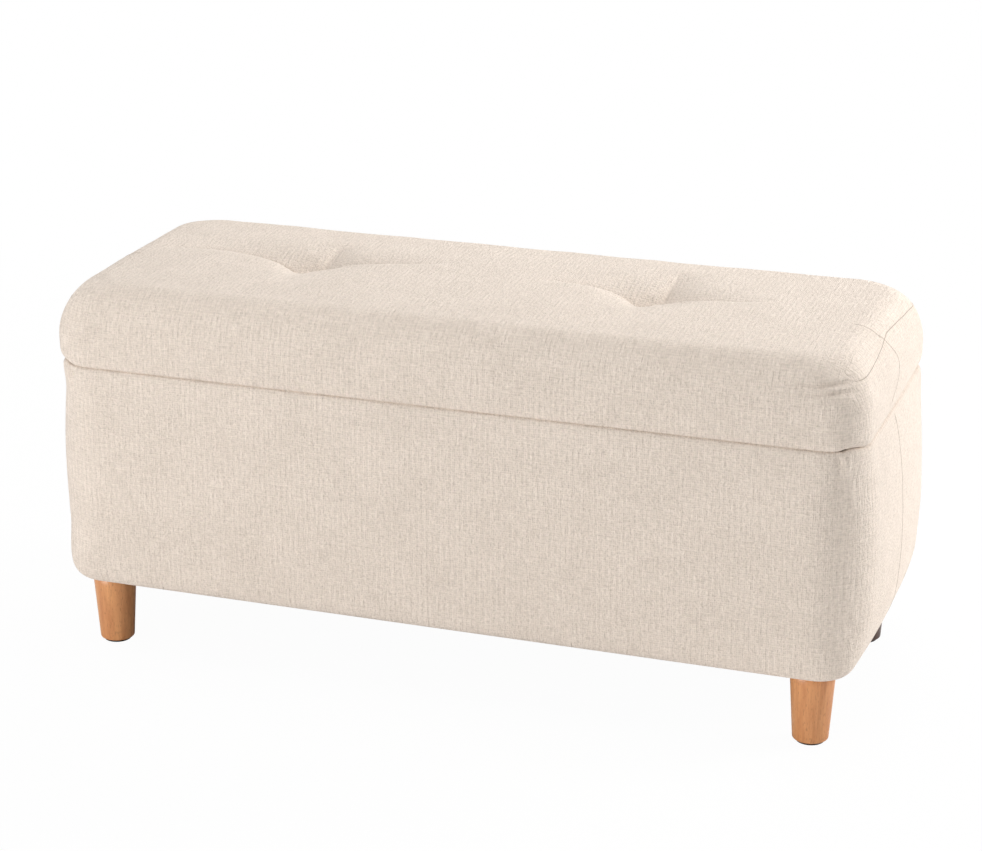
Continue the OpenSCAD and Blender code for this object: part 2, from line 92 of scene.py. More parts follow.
# ---------- mesh helpers ----------
def make_object(name, verts, faces, smooth=True):
    mesh = bpy.data.meshes.new(name)
    mesh.from_pydata([tuple(v) for v in verts], [], faces)
    mesh.validate()
    mesh.polygons.foreach_set("use_smooth", [smooth] * len(mesh.polygons))
    obj = bpy.data.objects.new(name, mesh)
    bpy.context.scene.collection.objects.link(obj)
    return obj


def point_up(obj):
    """Makes all the faces of a closed mesh point outwards."""
    bm = bmesh.new()
    bm.from_mesh(obj.data)
    bmesh.ops.recalc_face_normals(bm, faces=bm.faces)
    bm.to_mesh(obj.data)
    bm.free()
    return obj


def apply_modifiers(obj):
    graph = bpy.context.evaluated_depsgraph_get()
    mesh = bpy.data.meshes.new_from_object(obj.evaluated_get(graph))
    obj.modifiers.clear()
    obj.data = mesh
    return obj


def positions(obj):
    co = np.empty(len(obj.data.vertices) * 3)
    obj.data.vertices.foreach_get("co", co)
    return co.reshape(-1, 3)


def set_positions(obj, co):
    obj.data.vertices.foreach_set("co", co.astype(np.float32).ravel())
    obj.data.update()


def normals(obj):
    out = np.empty(len(obj.data.vertices) * 3)
    obj.data.vertex_normals.foreach_get("vector", out)
    return out.reshape(-1, 3)


def soft_noise(co, size, seed):
    """Smooth noise from -1 to 1 at each point, with bumps about size across."""
    shift = Vector((seed * 7.3, seed * 3.1, seed * 5.7))
    return np.array([noise.noise(Vector(p) / size + shift) for p in co])


def smooth_step(x, low, high):
    t = np.clip((x - low) / (high - low), 0, 1)
    return t * t * (3 - 2 * t)


# ---------- rounded shells ----------
def outline(a, b, half_x, half_y, radius):
    """A point (a, b) on the edge of the square from -1 to 1, put on a rounded rectangle."""
    x, y = a * half_x, b * half_y
    cx = np.clip(x, radius - half_x, half_x - radius)
    cy = np.clip(y, radius - half_y, half_y - radius)
    dx, dy = x - cx, y - cy
    length = np.hypot(dx, dy)
    k = np.where(length > 1e-9, radius / np.maximum(length, 1e-9), 0)
    return cx + dx * k, cy + dy * k


def square_ring(nx, ny):
    """The edge points of an nx by ny lattice over the square, counter-clockwise."""
    i = list(range(nx)) + [nx] * ny + list(range(nx, 0, -1)) + [0] * ny
    j = [0] * nx + list(range(ny)) + [ny] * nx + list(range(ny, 0, -1))
    return np.array(i), np.array(j)


class Shell:
    """Rows of rounded rectangles, with an optional lattice closing the last row."""

    def __init__(self, nx, ny):
        self.nx, self.ny = nx, ny
        self.i, self.j = square_ring(nx, ny)
        self.a = 2 * self.i / nx - 1
        self.b = 2 * self.j / ny - 1
        self.verts, self.faces, self.last = [], [], None

    def row(self, half_x, half_y, radius, z):
        x, y = outline(self.a, self.b, half_x, half_y, radius)
        start = len(self.verts)
        self.verts += list(zip(x, y, np.full(len(x), z)))
        ids = list(range(start, start + len(x)))
        if self.last:
            n = len(ids)
            self.faces += [(self.last[k], self.last[(k + 1) % n], ids[(k + 1) % n], ids[k])
                           for k in range(n)]
        self.last = ids
        return ids

    def lattice(self, place, flip=False):
        """Closes the last row; place(i, j, ring) gives a point inside it."""
        nx, ny = self.nx, self.ny
        ids = -np.ones((nx + 1, ny + 1), int)
        ids[self.i, self.j] = self.last
        for i in range(1, nx):
            for j in range(1, ny):
                ring = min(i, nx - i, j, ny - j)
                ids[i, j] = len(self.verts)
                self.verts.append(place(i, j, ring))
        quads = [(ids[i, j], ids[i + 1, j], ids[i + 1, j + 1], ids[i, j + 1])
                 for i in range(nx) for j in range(ny)]
        self.faces += [q[::-1] for q in quads] if flip else quads
        self.last = None


def rounding(d, a, b):
    """Inset of an elliptical rounding, a wide and b tall, at distance d from its edge."""
    return 0.0 if d >= b else a * (1 - math.sqrt(1 - (1 - max(d, 0) / b) ** 2))


# ---------- the shape of the base ----------
END_FOOT = (20 * MM, 65 * MM)            # width and height of the roundings at the foot and rim
FACE_FOOT = (12 * MM, 20 * MM)
END_BROW = (5 * MM, 7 * MM)
FACE_BROW = (5 * MM, 6 * MM)
END_BOW = 6 * MM                         # how much the base narrows from its middle to foot and rim
FACE_BOW = 3 * MM
FOOT_R = 38 * MM                         # plan radius at the foot
R_GAIN = 34 * MM                         # how much the radius grows half way up
R_LOSS = 16 * MM                         # and how much of that the rim takes back


def base_half(z):
    """Half sizes of the covered base at height z."""
    bow = ((z - BASE_MID) / (RIM - BASE_MID)) ** 2
    end = rounding(z - BASE_LOW, *END_FOOT) + END_BOW * bow + rounding(RIM - z, *END_BROW)
    face = rounding(z - BASE_LOW, *FACE_FOOT) + FACE_BOW * bow + rounding(RIM - z, *FACE_BROW)
    return HALF_X - end, HALF_Y - face


def base_radius(z):
    """Plan radius of the base's soft corners: small at the floor panel, large half way up."""
    up = smooth_step(z, BASE_LOW + 4 * MM, BASE_LOW + 75 * MM)
    near_rim = smooth_step(z, RIM - 45 * MM, RIM)
    return FOOT_R + R_GAIN * float(up) - R_LOSS * float(near_rim)


def end_crown(y, z):
    """How far the padded ends of the base swell out between their edges."""
    up = np.clip((z - BASE_LOW) / (RIM - BASE_LOW), 0, 1)
    height = np.clip(np.sin(math.pi * up ** 0.8), 0, 1) ** 0.7
    return END_CROWN * height * np.clip(1 - (y / (HALF_Y - 12 * MM)) ** 2, 0, 1)


def base_rows(rows):
    """Heights up the base, close together at the roundings."""
    low = BASE_LOW + END_FOOT[1] * (1 - np.cos(np.linspace(0, math.pi / 2, 16)))
    high = RIM - 10 * MM * (1 - np.cos(np.linspace(math.pi / 2, 0, 7)))
    middle = np.linspace(low[-1], high[0], rows)[1:-1]
    return list(low) + list(middle) + list(high)


# ---------- the shape of the lid cushion ----------
STEP = 5 * MM                            # spacing of the grid on the lid's top
EDGE_ROWS = 40                           # rows round the top edge's rounding
HEM_INSETS = (42 * MM, 31 * MM, 22 * MM)  # rows of the hem under the board, from its edge out
HEM_R = 20 * MM
UNDER_END = (6 * MM, 14 * MM)            # width and height of the roundings under the lid's edge
UNDER_FACE = (6 * MM, 12 * MM)
UNDER_ROWS = 26 * MM                     # height of the close rows there
BACK_TAPER = 0.003                       # how much narrower the lid is at its back corners
LID_NY = 2 * (round((LID_Y - ROUND_W) / STEP) + EDGE_ROWS)
LID_NX = 2 * (round((LID_X - ROUND_W) / STEP) + EDGE_ROWS)


def crown(x, y):
    fx = 1 - np.clip(np.abs(x) / (LID_X - ROUND_W), 0, 1) ** 4
    fy = 1 - np.clip(np.abs(y) / (LID_Y - ROUND_W), 0, 1) ** 2
    return CROWN * fx * fy


def lid_surface():
    """The outer skin of the lid cushion, from its hem under the board to its top."""
    shell = Shell(LID_NX, LID_NY)
    for inset in HEM_INSETS:
        shell.row(LID_X - inset, LID_Y - inset, HEM_R, LID_LOW)
    for d in UNDER_ROWS * (1 - np.cos(np.linspace(0, math.pi / 2, 9))):
        shell.row(LID_X - rounding(d, *UNDER_END), LID_Y - rounding(d, *UNDER_FACE), LID_R, LID_LOW + d)
    wall_top = LID_EDGE - ROUND_H
    for z in np.linspace(LID_LOW + UNDER_ROWS, wall_top, 4)[1:]:
        shell.row(LID_X, LID_Y, LID_R, z)
    row_step_x = (LID_X - ROUND_W) / (LID_NX / 2 - EDGE_ROWS)
    row_step_y = (LID_Y - ROUND_W) / (LID_NY / 2 - EDGE_ROWS)

    def place(i, j, ring):
        if ring <= EDGE_ROWS:
            angle = math.pi / 2 * ring / EDGE_ROWS
            dx = dy = ROUND_W * (1 - math.cos(angle))
            z = wall_top + ROUND_H * math.sin(angle)
            radius = LID_R
        else:
            dx = ROUND_W + (ring - EDGE_ROWS) * row_step_x
            dy = ROUND_W + (ring - EDGE_ROWS) * row_step_y
            z = LID_EDGE
            radius = max(LID_R - (ring - EDGE_ROWS) * STEP * 0.8, 0.5 * MM)
        across = max(LID_NX - 2 * ring, 1)
        deep = max(LID_NY - 2 * ring, 1)
        x, y = outline((2 * i - LID_NX) / across, (2 * j - LID_NY) / deep,
                       LID_X - dx, max(LID_Y - dy, 0), min(radius, max(LID_Y - dy, 0)))
        return (float(x), float(y), z)

    shell.lattice(place)
    return shell


def steep_side(t):
    """The round side of a puff where it dives into a crease: 1 at the crease, 0 from t = 1."""
    return 1 - np.sqrt(1 - (1 - np.clip(t, 0, 1)) ** 2)


def crease(along, across, length, depth, steep, gentle, roll=0.0):
    """A fold that starts at 0 and fades out by length: a puff hangs over it on its negative side.

    steep and gentle are how wide the fold is on its puffed side and on its other side, and roll is
    the share of the puff's side that leans down slowly instead of steeply.
    """
    fade = np.clip(1 - along / length, 0, 1) ** 1.1
    fade = np.where(along > 0, fade, np.clip(1 + along / (9 * MM), 0, 1) ** 2)
    before = (1 - roll) * steep_side(-across / steep) + roll * np.clip(1 + across / gentle, 0, 1) ** 1.7
    behind = np.clip(1 - across / gentle, 0, 1) ** 1.7
    pinch = 5 * MM * np.exp(-np.abs(across) / (3 * MM))
    return fade * (depth * np.where(across < 0, before, behind) + pinch)


def tuft_drop(x, y):
    """How far the tufts and their pull creases draw the top down."""
    drop = np.zeros_like(x)
    for tx, ty, left_reach, right_reach, rise, back_reach in TUFTS:
        dx, dy = x - tx, y - ty
        r = np.hypot(dx, dy)
        bowl = 23 * MM * np.exp(-(r / (36 * MM)) ** 0.95)
        # how each crease wanders from a straight line out of the tuft
        left_line = 4 * MM + 20 * MM * np.sin(math.pi * np.clip(-dx / left_reach, 0, 1))
        right_line = 6 * MM + rise * np.clip(dx / right_reach, 0, 1)
        back_line = 19 * MM * (1 - np.exp(-np.clip(dy, 0, None) / (12 * MM)))
        left = crease(-dx, dy - left_line, left_reach, depth=15 * MM, steep=30 * MM, gentle=75 * MM)
        right = crease(dx, dy - right_line, right_reach, depth=19 * MM, steep=20 * MM, gentle=58 * MM)
        back = crease(dy, dx - back_line, back_reach, depth=25 * MM, steep=20 * MM, gentle=66 * MM,
                      roll=0.66)
        second = crease(dx - 25 * MM, dy - right_line + 22 * MM, 60 * MM,
                        depth=2.5 * MM, steep=9 * MM, gentle=14 * MM)
        dimple = 3 * MM * np.exp(-((dx + 0.1 * dy) / (20 * MM)) ** 2)
        front = dimple * np.exp(-np.abs(dy + 30 * MM) / (45 * MM))
        creases = (left ** 3 + right ** 3 + back ** 3) ** (1 / 3)
        drop += bowl + creases + second + front * (dy < 0)
    return drop / (1 + (drop / TUFT_DEPTH) ** 6) ** (1 / 6)


def gather(x, centre, reach, share):
    """Draws grid lines towards a centre, so that sharp folds get smaller faces."""
    return centre + (x - centre) * (1 - share * np.exp(-((x - centre) / reach) ** 2))


def closer_lines(co):
    """Finer spacing of the lid's grid along the creases."""
    x, y = co[:, 0], co[:, 1]
    for tuft in TUFTS:
        x = gather(x, tuft[0] + 10 * MM, 60 * MM, 0.55)
    y = gather(y, 14 * MM, 55 * MM, 0.6)
    return np.column_stack([x, y, co[:, 2]])


# each front corner's creases, in mm: side, start and end along X, height, rise along it, depth
CORNER_CREASES = ((1, 450, 534, 480, 8, 4.2), (1, 456, 538, 471, 8, 3.6), (-1, 370, 528, 475, -3, 1.0))


def corner_creases(x, y, z):
    """Soft creases where the cover is folded round the front corners of the lid, as a depth."""
    near_front = smooth_step(-y, LID_Y - 45 * MM, LID_Y - 25 * MM)
    depth = np.zeros_like(x)
    for side, start, end, height, rise, deep in CORNER_CREASES:
        along = (side * x - start * MM) / ((end - start) * MM)
        line = (height + rise * (along - 0.5)) * MM
        fade = np.clip(np.sin(math.pi * np.clip(along, 0, 1)), 0, 1)
        depth += deep * MM * fade * np.exp(-((z - line) / (2.6 * MM)) ** 2)
    return depth * near_front


def shape_lid(co):
    """Crown, tufts and small hand-made unevenness on the skin's points."""
    co = closer_lines(co)
    x, y, z = co[:, 0], co[:, 1], co[:, 2]
    x = x * (1 - BACK_TAPER * smooth_step(y, 40 * MM, LID_Y))
    top = smooth_step(z, LID_EDGE - 30 * MM, LID_EDGE - 0.1 * MM)
    z = z + crown(x, y) * top - tuft_drop(x, y) * smooth_step(z, LID_EDGE - 14 * MM, LID_EDGE)
    z = z - LIP * away_from_hinge(y) * smooth_step(LID_LOW + 12 * MM - z, 0, 12 * MM) * at_edge(x, y)
    z = z + LID_CORNER_LIFT * front_corner(x, y) * smooth_step(LID_LOW + 36 * MM - z, 0, 34 * MM)
    return np.column_stack([x, y, z])


def front_corner(x, y):
    """1 at the outside of the two soft front corners, 0 away from them."""
    return smooth_step(np.abs(x), HALF_X - 44 * MM, HALF_X - 12 * MM) * smooth_step(
        -y, HALF_Y - 44 * MM, HALF_Y - 12 * MM)


def away_from_hinge(y):
    """1 over the front and middle, 0 along the hinges at the back."""
    return 1 - smooth_step(y, HALF_Y - 90 * MM, HALF_Y - 40 * MM)


def at_edge(x, y):
    """1 outside the plywood box, where the padding of the lid and base nearly meets."""
    return np.maximum(smooth_step(np.abs(x), BOX_X + 2 * MM, BOX_X + 14 * MM),
                      smooth_step(np.abs(y), BOX_Y + 1 * MM, BOX_Y + 8 * MM))


def cloth_uv(obj):
    """A UV map in metres: ribs run up the sides and across the depth of the top."""
    mesh = obj.data
    layer = mesh.uv_layers.new(name="cloth")
    co = positions(obj)
    values = np.empty((len(mesh.loops), 2))
    for poly in mesh.polygons:
        n = poly.normal
        end = abs(n.x) > abs(n.y) and abs(n.x) > 0.6 * abs(n.z)
        for loop in poly.loop_indices:
            p = co[mesh.loops[loop].vertex_index]
            if end:
                values[loop] = (p[1] + 2.0, p[2])
            elif abs(n.z) > 0.7:
                values[loop] = (p[0], p[1] + 1.0)
            else:
                values[loop] = (p[0], p[2] - math.copysign(1.0, n.y))
    layer.data.foreach_set("uv", values.ravel())


# ---------- materials ----------
class Nodes:
    """Short calls for building a node material."""

    def __init__(self, name):
        self.material = bpy.data.materials.new(name)
        self.material.use_nodes = True
        self.tree = self.material.node_tree
        self.shader = self.tree.nodes["Principled BSDF"]

    def add(self, kind, **settings):
        node = self.tree.nodes.new(kind)
        for key, value in settings.items():
            setattr(node, key, value)
        return node

    def link(self, out, into):
        self.tree.links.new(out, into)

    def put(self, value, socket):
        if isinstance(value, bpy.types.NodeSocket):
            self.link(value, socket)
        else:
            socket.default_value = value

    def math(self, operation, *values):
        node = self.add("ShaderNodeMath", operation=operation)
        for k, value in enumerate(values):
            self.put(value, node.inputs[k])
        return node.outputs[0]

    def scaled(self, vector, size):
        node = self.add("ShaderNodeVectorMath", operation="MULTIPLY")
        self.put(vector, node.inputs[0])
        node.inputs[1].default_value = size
        return node.outputs[0]

    def noise(self, vector, scale, detail=2.0, rough=0.5):
        node = self.add("ShaderNodeTexNoise")
        self.link(vector, node.inputs["Vector"])
        node.inputs["Scale"].default_value = scale
        node.inputs["Detail"].default_value = detail
        node.inputs["Roughness"].default_value = rough
        return node.outputs[0]

    def ramp(self, value, *stops):
        node = self.add("ShaderNodeValToRGB")
        self.put(value, node.inputs[0])
        elements = node.color_ramp.elements
        while len(elements) < len(stops):
            elements.new(0.5)
        for element, (place, colour) in zip(elements, stops):
            element.position = place
            element.color = (*colour, 1)
        return node.outputs[0]

    def blend(self, factor, one, two, mode="MIX"):
        node = self.add("ShaderNodeMix", data_type="RGBA", blend_type=mode)
        self.put(factor, node.inputs[0])
        for socket, value in ((node.inputs[6], one), (node.inputs[7], two)):
            self.put(value if isinstance(value, bpy.types.NodeSocket) else (*value, 1), socket)
        return node.outputs[2]

    def bump(self, height, strength, distance):
        node = self.add("ShaderNodeBump")
        self.put(height, node.inputs["Height"])
        node.inputs["Strength"].default_value = strength
        node.inputs["Distance"].default_value = distance
        self.link(node.outputs[0], self.shader.inputs["Normal"])

    def set(self, **sockets):
        for key, value in sockets.items():
            self.put(value, self.shader.inputs[key.replace("_", " ")])
        return self.material


def srgb(r, g, b):
    """A colour given as 0 to 255, in the linear values that nodes use."""
    def linear(c):
        c = c / 255
        return c / 12.92 if c <= 0.04045 else ((c + 0.055) / 1.055) ** 2.4
    return tuple(linear(c) for c in (r, g, b))


def woven(name, light, dark, thread, depth, strength):
    """Plain weave of uneven slubby threads, thread metres from one to the next."""
    m = Nodes(name)
    cloth = m.add("ShaderNodeTexCoord").outputs["Object"]
    wobble = m.add("ShaderNodeTexNoise")
    m.link(cloth, wobble.inputs["Vector"])
    wobble.inputs["Scale"].default_value = 90
    wobble.inputs["Detail"].default_value = 3
    shifted = m.add("ShaderNodeVectorMath", operation="MULTIPLY_ADD")
    m.link(wobble.outputs[1], shifted.inputs[0])
    shifted.inputs[1].default_value = (thread * 1.1,) * 3
    m.link(cloth, shifted.inputs[2])
    split = m.add("ShaderNodeSeparateXYZ")
    m.link(m.scaled(shifted.outputs[0], (1 / thread,) * 3), split.inputs[0])
    u, v = split.outputs[0], split.outputs[1]
    up = m.math("ABSOLUTE", m.math("SINE", m.math("MULTIPLY", u, math.pi)))
    over = m.math("ABSOLUTE", m.math("SINE", m.math("MULTIPLY", v, math.pi)))
    parity = m.math("ADD", m.math("FLOOR", u), m.math("FLOOR", v))
    odd = m.math("PINGPONG", parity, 1.0)
    warp_slub = m.noise(m.scaled(cloth, (1 / thread, 0.06 / thread, 1)), 0.9, 3, 0.6)
    weft_slub = m.noise(m.scaled(cloth, (0.06 / thread, 1 / thread, 1)), 0.9, 3, 0.6)
    warp = m.math("MULTIPLY", up, m.math("ADD", m.math("MULTIPLY", odd, 0.45), warp_slub))
    even = m.math("SUBTRACT", 1.0, odd)
    weft = m.math("MULTIPLY", over, m.math("ADD", m.math("MULTIPLY", even, 0.45), weft_slub))
    height = m.math("MAXIMUM", warp, weft)
    fuzz = m.noise(cloth, 2600, 2, 0.6)
    surface = m.math("ADD", height, m.math("MULTIPLY", fuzz, 0.35))
    patches = m.noise(cloth, 9, 3, 0.55)
    # Painted shade: the colour follows the weave's height, so the gaps between threads are darker. The
    # slubs and patches also give the yarn its own uneven tone.
    tone = m.math("ADD", m.math("MULTIPLY", height, 0.75), m.math("MULTIPLY", patches, 0.25))
    colour = m.ramp(tone, (0.16, dark), (0.62, light))
    m.bump(surface, strength, depth)
    m.shader.inputs["Sheen Roughness"].default_value = 0.45
    return m.set(Base_Color=colour, Roughness=0.92, Sheen_Weight=0.18, Specular_IOR_Level=0.2)


RIB = 7.4 * MM                           # from one heavy warp rib of the linen to the next
WARP = RIB / 3
WEFT = 2.9 * MM


def ribbed_linen(name, light, dark):
    """Slubby linen: three warp threads to each soft rib, crossed by uneven weft threads."""
    m = Nodes(name)
    cloth = m.add("ShaderNodeUVMap", uv_map="cloth").outputs[0]
    wobble = m.add("ShaderNodeTexNoise")
    m.link(cloth, wobble.inputs["Vector"])
    wobble.inputs["Scale"].default_value = 55
    wobble.inputs["Detail"].default_value = 2
    shifted = m.add("ShaderNodeVectorMath", operation="MULTIPLY_ADD")
    m.link(wobble.outputs[1], shifted.inputs[0])
    shifted.inputs[1].default_value = (4 * MM,) * 3
    m.link(cloth, shifted.inputs[2])
    split = m.add("ShaderNodeSeparateXYZ")
    m.link(shifted.outputs[0], split.inputs[0])
    u, v = split.outputs[0], split.outputs[1]

    def centred(value, share):
        return m.math("MULTIPLY", m.math("SUBTRACT", value, 0.5), share)

    def total(*values):
        result = values[0]
        for value in values[1:]:
            result = m.math("ADD", result, value)
        return result

    rib = m.math("MULTIPLY_ADD", m.math("SINE", m.math("MULTIPLY", u, 2 * math.pi / RIB)), 0.5, 0.5)
    warp = m.math("ABSOLUTE", m.math("SINE", m.math("MULTIPLY", u, math.pi / WARP)))
    weft = m.math("ABSOLUTE", m.math("SINE", m.math("MULTIPLY", v, math.pi / WEFT)))
    parity = m.math("ADD", m.math("FLOOR", m.math("MULTIPLY", u, 1 / WARP)),
                    m.math("FLOOR", m.math("MULTIPLY", v, 1 / WEFT)))
    odd = m.math("PINGPONG", parity, 1.0)
    crossing = m.math("MAXIMUM", m.math("MULTIPLY", warp, m.math("MULTIPLY_ADD", odd, 0.4, 0.6)),
                      m.math("MULTIPLY", weft, m.math("MULTIPLY_ADD", odd, -0.4, 1.0)))
    warp_slub = m.noise(m.scaled(cloth, (1 / (2.6 * MM), 1 / (17 * MM), 1)), 1.0, 2, 0.5)
    weft_slub = m.noise(m.scaled(cloth, (1 / (15 * MM), 1 / (3.0 * MM), 1)), 1.0, 2, 0.5)
    knots = m.noise(m.scaled(cloth, (1 / (2.6 * MM), 1 / (3.4 * MM), 1)), 1.0, 1, 0.5)
    patches = m.noise(cloth, 14, 3, 0.55)
    rib_here = m.math("MULTIPLY", centred(rib, 1.0), m.math("MULTIPLY_ADD", patches, 1.6, 0.2))
    height = total(centred(crossing, 0.5), m.math("MULTIPLY", rib_here, 0.19), centred(warp_slub, 1.25),
                   centred(weft_slub, 0.8), centred(knots, 1.45))
    # Painted shade: the colour follows the weave's height, so the gaps between threads and the hollows
    # between ribs are darker. The slubs, knots and patches also give the yarn its own uneven tone.
    tone = total(m.math("ADD", m.math("MULTIPLY", height, 0.5), 0.5), centred(patches, 0.25))
    fuzz = m.noise(cloth, 2200, 2, 0.6)
    m.bump(m.math("ADD", height, m.math("MULTIPLY", fuzz, 0.15)), 1.0, 0.85 * MM)
    m.shader.inputs["Sheen Roughness"].default_value = 0.45
    colour = m.ramp(tone, (0.1, dark), (0.9, light))
    return m.set(Base_Color=colour, Roughness=0.92, Sheen_Weight=0.18, Specular_IOR_Level=0.2)


def turned_wood(name, light, dark, gloss):
    """Fine straight grain along the leg with short dark flecks."""
    m = Nodes(name)
    place = m.add("ShaderNodeTexCoord").outputs["Object"]
    grain = m.noise(m.scaled(place, (1, 1, 0.07)), 190, 5, 0.6)
    bands = m.noise(m.scaled(place, (1, 1, 0.12)), 38, 2, 0.5)
    flecks = m.noise(m.scaled(place, (1, 1, 0.16)), 900, 1, 0.4)
    tone = m.math("ADD", m.math("MULTIPLY", grain, 0.6), m.math("MULTIPLY", bands, 0.4))
    colour = m.ramp(tone, (0.34, dark), (0.62, light))
    fleck_mask = m.ramp(flecks, (0.60, (0, 0, 0)), (0.72, (1, 1, 1)))
    darker = tuple(c * 0.72 for c in dark)
    colour = m.blend(m.math("MULTIPLY", fleck_mask, 0.6), colour, darker)
    m.bump(m.math("ADD", grain, m.math("MULTIPLY", flecks, 0.4)), 0.25, 0.2 * MM)
    return m.set(Base_Color=colour, Roughness=gloss, Coat_Weight=0.15)


def plywood():
    """Rotary-cut birch face grain."""
    m = Nodes("plywood_grain")
    place = m.add("ShaderNodeTexCoord").outputs["Object"]
    figure = m.noise(m.scaled(place, (0.25, 3, 3)), 14, 5, 0.6)
    fine = m.noise(m.scaled(place, (0.1, 6, 6)), 160, 3, 0.6)
    tone = m.math("ADD", m.math("MULTIPLY", figure, 0.65), m.math("MULTIPLY", fine, 0.35))
    colour = m.ramp(tone, (0.35, srgb(176, 140, 98)), (0.65, srgb(222, 194, 150)))
    m.bump(fine, 0.3, 0.2 * MM)
    return m.set(Base_Color=colour, Roughness=0.7)


def plated_steel():
    m = Nodes("zinc_plate")
    place = m.add("ShaderNodeTexCoord").outputs["Object"]
    streaks = m.noise(m.scaled(place, (1, 12, 12)), 70, 4, 0.6)
    colour = m.ramp(streaks, (0.3, srgb(168, 170, 173)), (0.7, srgb(206, 207, 209)))
    rough = m.math("ADD", m.math("MULTIPLY", streaks, 0.25), 0.22)
    m.bump(streaks, 0.1, 0.1 * MM)
    return m.set(Base_Color=colour, Roughness=rough, Metallic=1.0)


def moulded_plastic():
    m = Nodes("black_moulded_plastic")
    place = m.add("ShaderNodeTexCoord").outputs["Object"]
    grain = m.noise(place, 1400, 2, 0.6)
    colour = m.ramp(grain, (0.3, srgb(20, 20, 21)), (0.7, srgb(34, 34, 35)))
    m.bump(grain, 0.2, 0.1 * MM)
    return m.set(Base_Color=colour, Roughness=0.5)


def open_foam():
    m = Nodes("open_cell_foam")
    place = m.add("ShaderNodeTexCoord").outputs["Object"]
    cells = m.add("ShaderNodeTexVoronoi")
    m.link(place, cells.inputs["Vector"])
    cells.inputs["Scale"].default_value = 700
    colour = m.ramp(cells.outputs[0], (0.1, srgb(214, 204, 168)), (0.6, srgb(240, 233, 204)))
    m.bump(cells.outputs[0], 0.5, 0.6 * MM)
    return m.set(Base_Color=colour, Roughness=0.95)


def felt(name, light, dark):
    m = Nodes(name)
    place = m.add("ShaderNodeTexCoord").outputs["Object"]
    fibres = m.noise(place, 1100, 4, 0.7)
    patches = m.noise(place, 60, 2, 0.5)
    tone = m.math("ADD", m.math("MULTIPLY", fibres, 0.7), m.math("MULTIPLY", patches, 0.3))
    colour = m.ramp(tone, (0.35, dark), (0.65, light))
    m.bump(fibres, 0.5, 0.3 * MM)
    return m.set(Base_Color=colour, Roughness=0.95, Sheen_Weight=0.2)


LINEN = ribbed_linen("cream_linen", srgb(251, 237, 224), srgb(207, 193, 179))
LINING = woven("plain_lining", srgb(206, 200, 188), srgb(176, 169, 157), 0.9 * MM, 0.15 * MM, 0.5)
DUST = felt("black_nonwoven", srgb(40, 40, 41), srgb(20, 20, 21))
FELT = felt("grey_felt", srgb(196, 190, 180), srgb(160, 154, 144))
BEECH = turned_wood("pale_beech", srgb(228, 164, 108), srgb(198, 130, 80), 0.42)
DARK = turned_wood("dark_stained_wood", srgb(92, 66, 56), srgb(58, 40, 33), 0.4)
PLY = plywood()
STEEL = plated_steel()
PLASTIC = moulded_plastic()
FOAM = open_foam()
TWINE = woven("waxed_twine", srgb(214, 206, 188), srgb(176, 166, 146), 0.5 * MM, 0.1 * MM, 0.6)
SEAM = woven("seam_shadow", srgb(186, 168, 150), srgb(138, 121, 105), 0.6 * MM, 0.1 * MM, 0.5)

BY_SLOT = {"plywood": PLY, "beech": BEECH, "dark_wood": DARK, "linen": LINEN, "lining": LINING,
           "dust_cloth": DUST, "foam": FOAM, "felt": FELT, "zinc": STEEL, "twine": TWINE,
           "black_plastic": PLASTIC}


def paint(obj, material):
    obj.data.materials.clear()
    obj.data.materials.append(material)


for part in frame["record"]["subparts"]:
    paint(frame["nodes"][part["node"]], BY_SLOT[part["material_slot"]])


def finish_piece(obj, material, body, slot, *replaced):
    paint(obj, material)
    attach(obj, body)
    if replaced:
        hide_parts(*replaced)
    return obj


# ---------- lid ----------
def add_thickness(obj, amount, offset=-1):
    """Makes a closed cloth out of a sheet: the new side is behind it, or in front with offset=1."""
    solid = obj.modifiers.new("thickness", "SOLIDIFY")
    solid.thickness = amount
    solid.offset = offset
    return apply_modifiers(obj)


def lid_cover():
    shell = lid_surface()
    co = shape_lid(np.array(shell.verts))
    obj = make_object("lid_cover_fabric", co, shell.faces)
    co, n = positions(obj), normals(obj)
    soft = soft_noise(co, 90 * MM, 1) * 0.9 * MM + soft_noise(co, 34 * MM, 2) * 0.35 * MM
    free = smooth_step(co[:, 2], LID_LOW + 2 * MM, LID_LOW + 30 * MM)
    folds = corner_creases(co[:, 0], co[:, 1], co[:, 2])
    set_positions(obj, co + n * (soft * free - folds)[:, None])
    add_thickness(obj, COVER)
    cloth_uv(obj)
    finish_piece(obj, LINEN, "lid", "linen", "lid_cover")
    return obj


lid_piece = lid_cover()


# ---------- base ----------
BASE_NX = 300                            # grid lines round the base: along its length, across its depth
BASE_NY = 124
TUCK_R = 56 * MM                         # how far in from the corner the fan of the tucks starts
TUCK_REACH = 46 * MM                     # how far down they fade out


def corner_tuck(co):
    """The tucks at the top of each corner, where the cover is folded over the rim, as a depth."""
    ox = np.abs(co[:, 0]) - (HALF_X - TUCK_R)
    oy = np.abs(co[:, 1]) - (HALF_Y - TUCK_R)
    angle = np.degrees(np.arctan2(oy, ox))
    down = np.clip((RIM - co[:, 2]) / TUCK_REACH, 0, 1)
    line = 68 - 8 * down
    valley = 5.5 * MM * np.exp(-np.abs((angle - line) / 5) ** 1.3)
    ridge = 3.0 * MM * np.exp(-((angle - line + 12) / 6) ** 2)
    fade = (1 - down) ** 1.2 * smooth_step(down, 0.02, 0.14)
    return (valley - ridge) * fade * ((ox > 0) & (oy > 0))


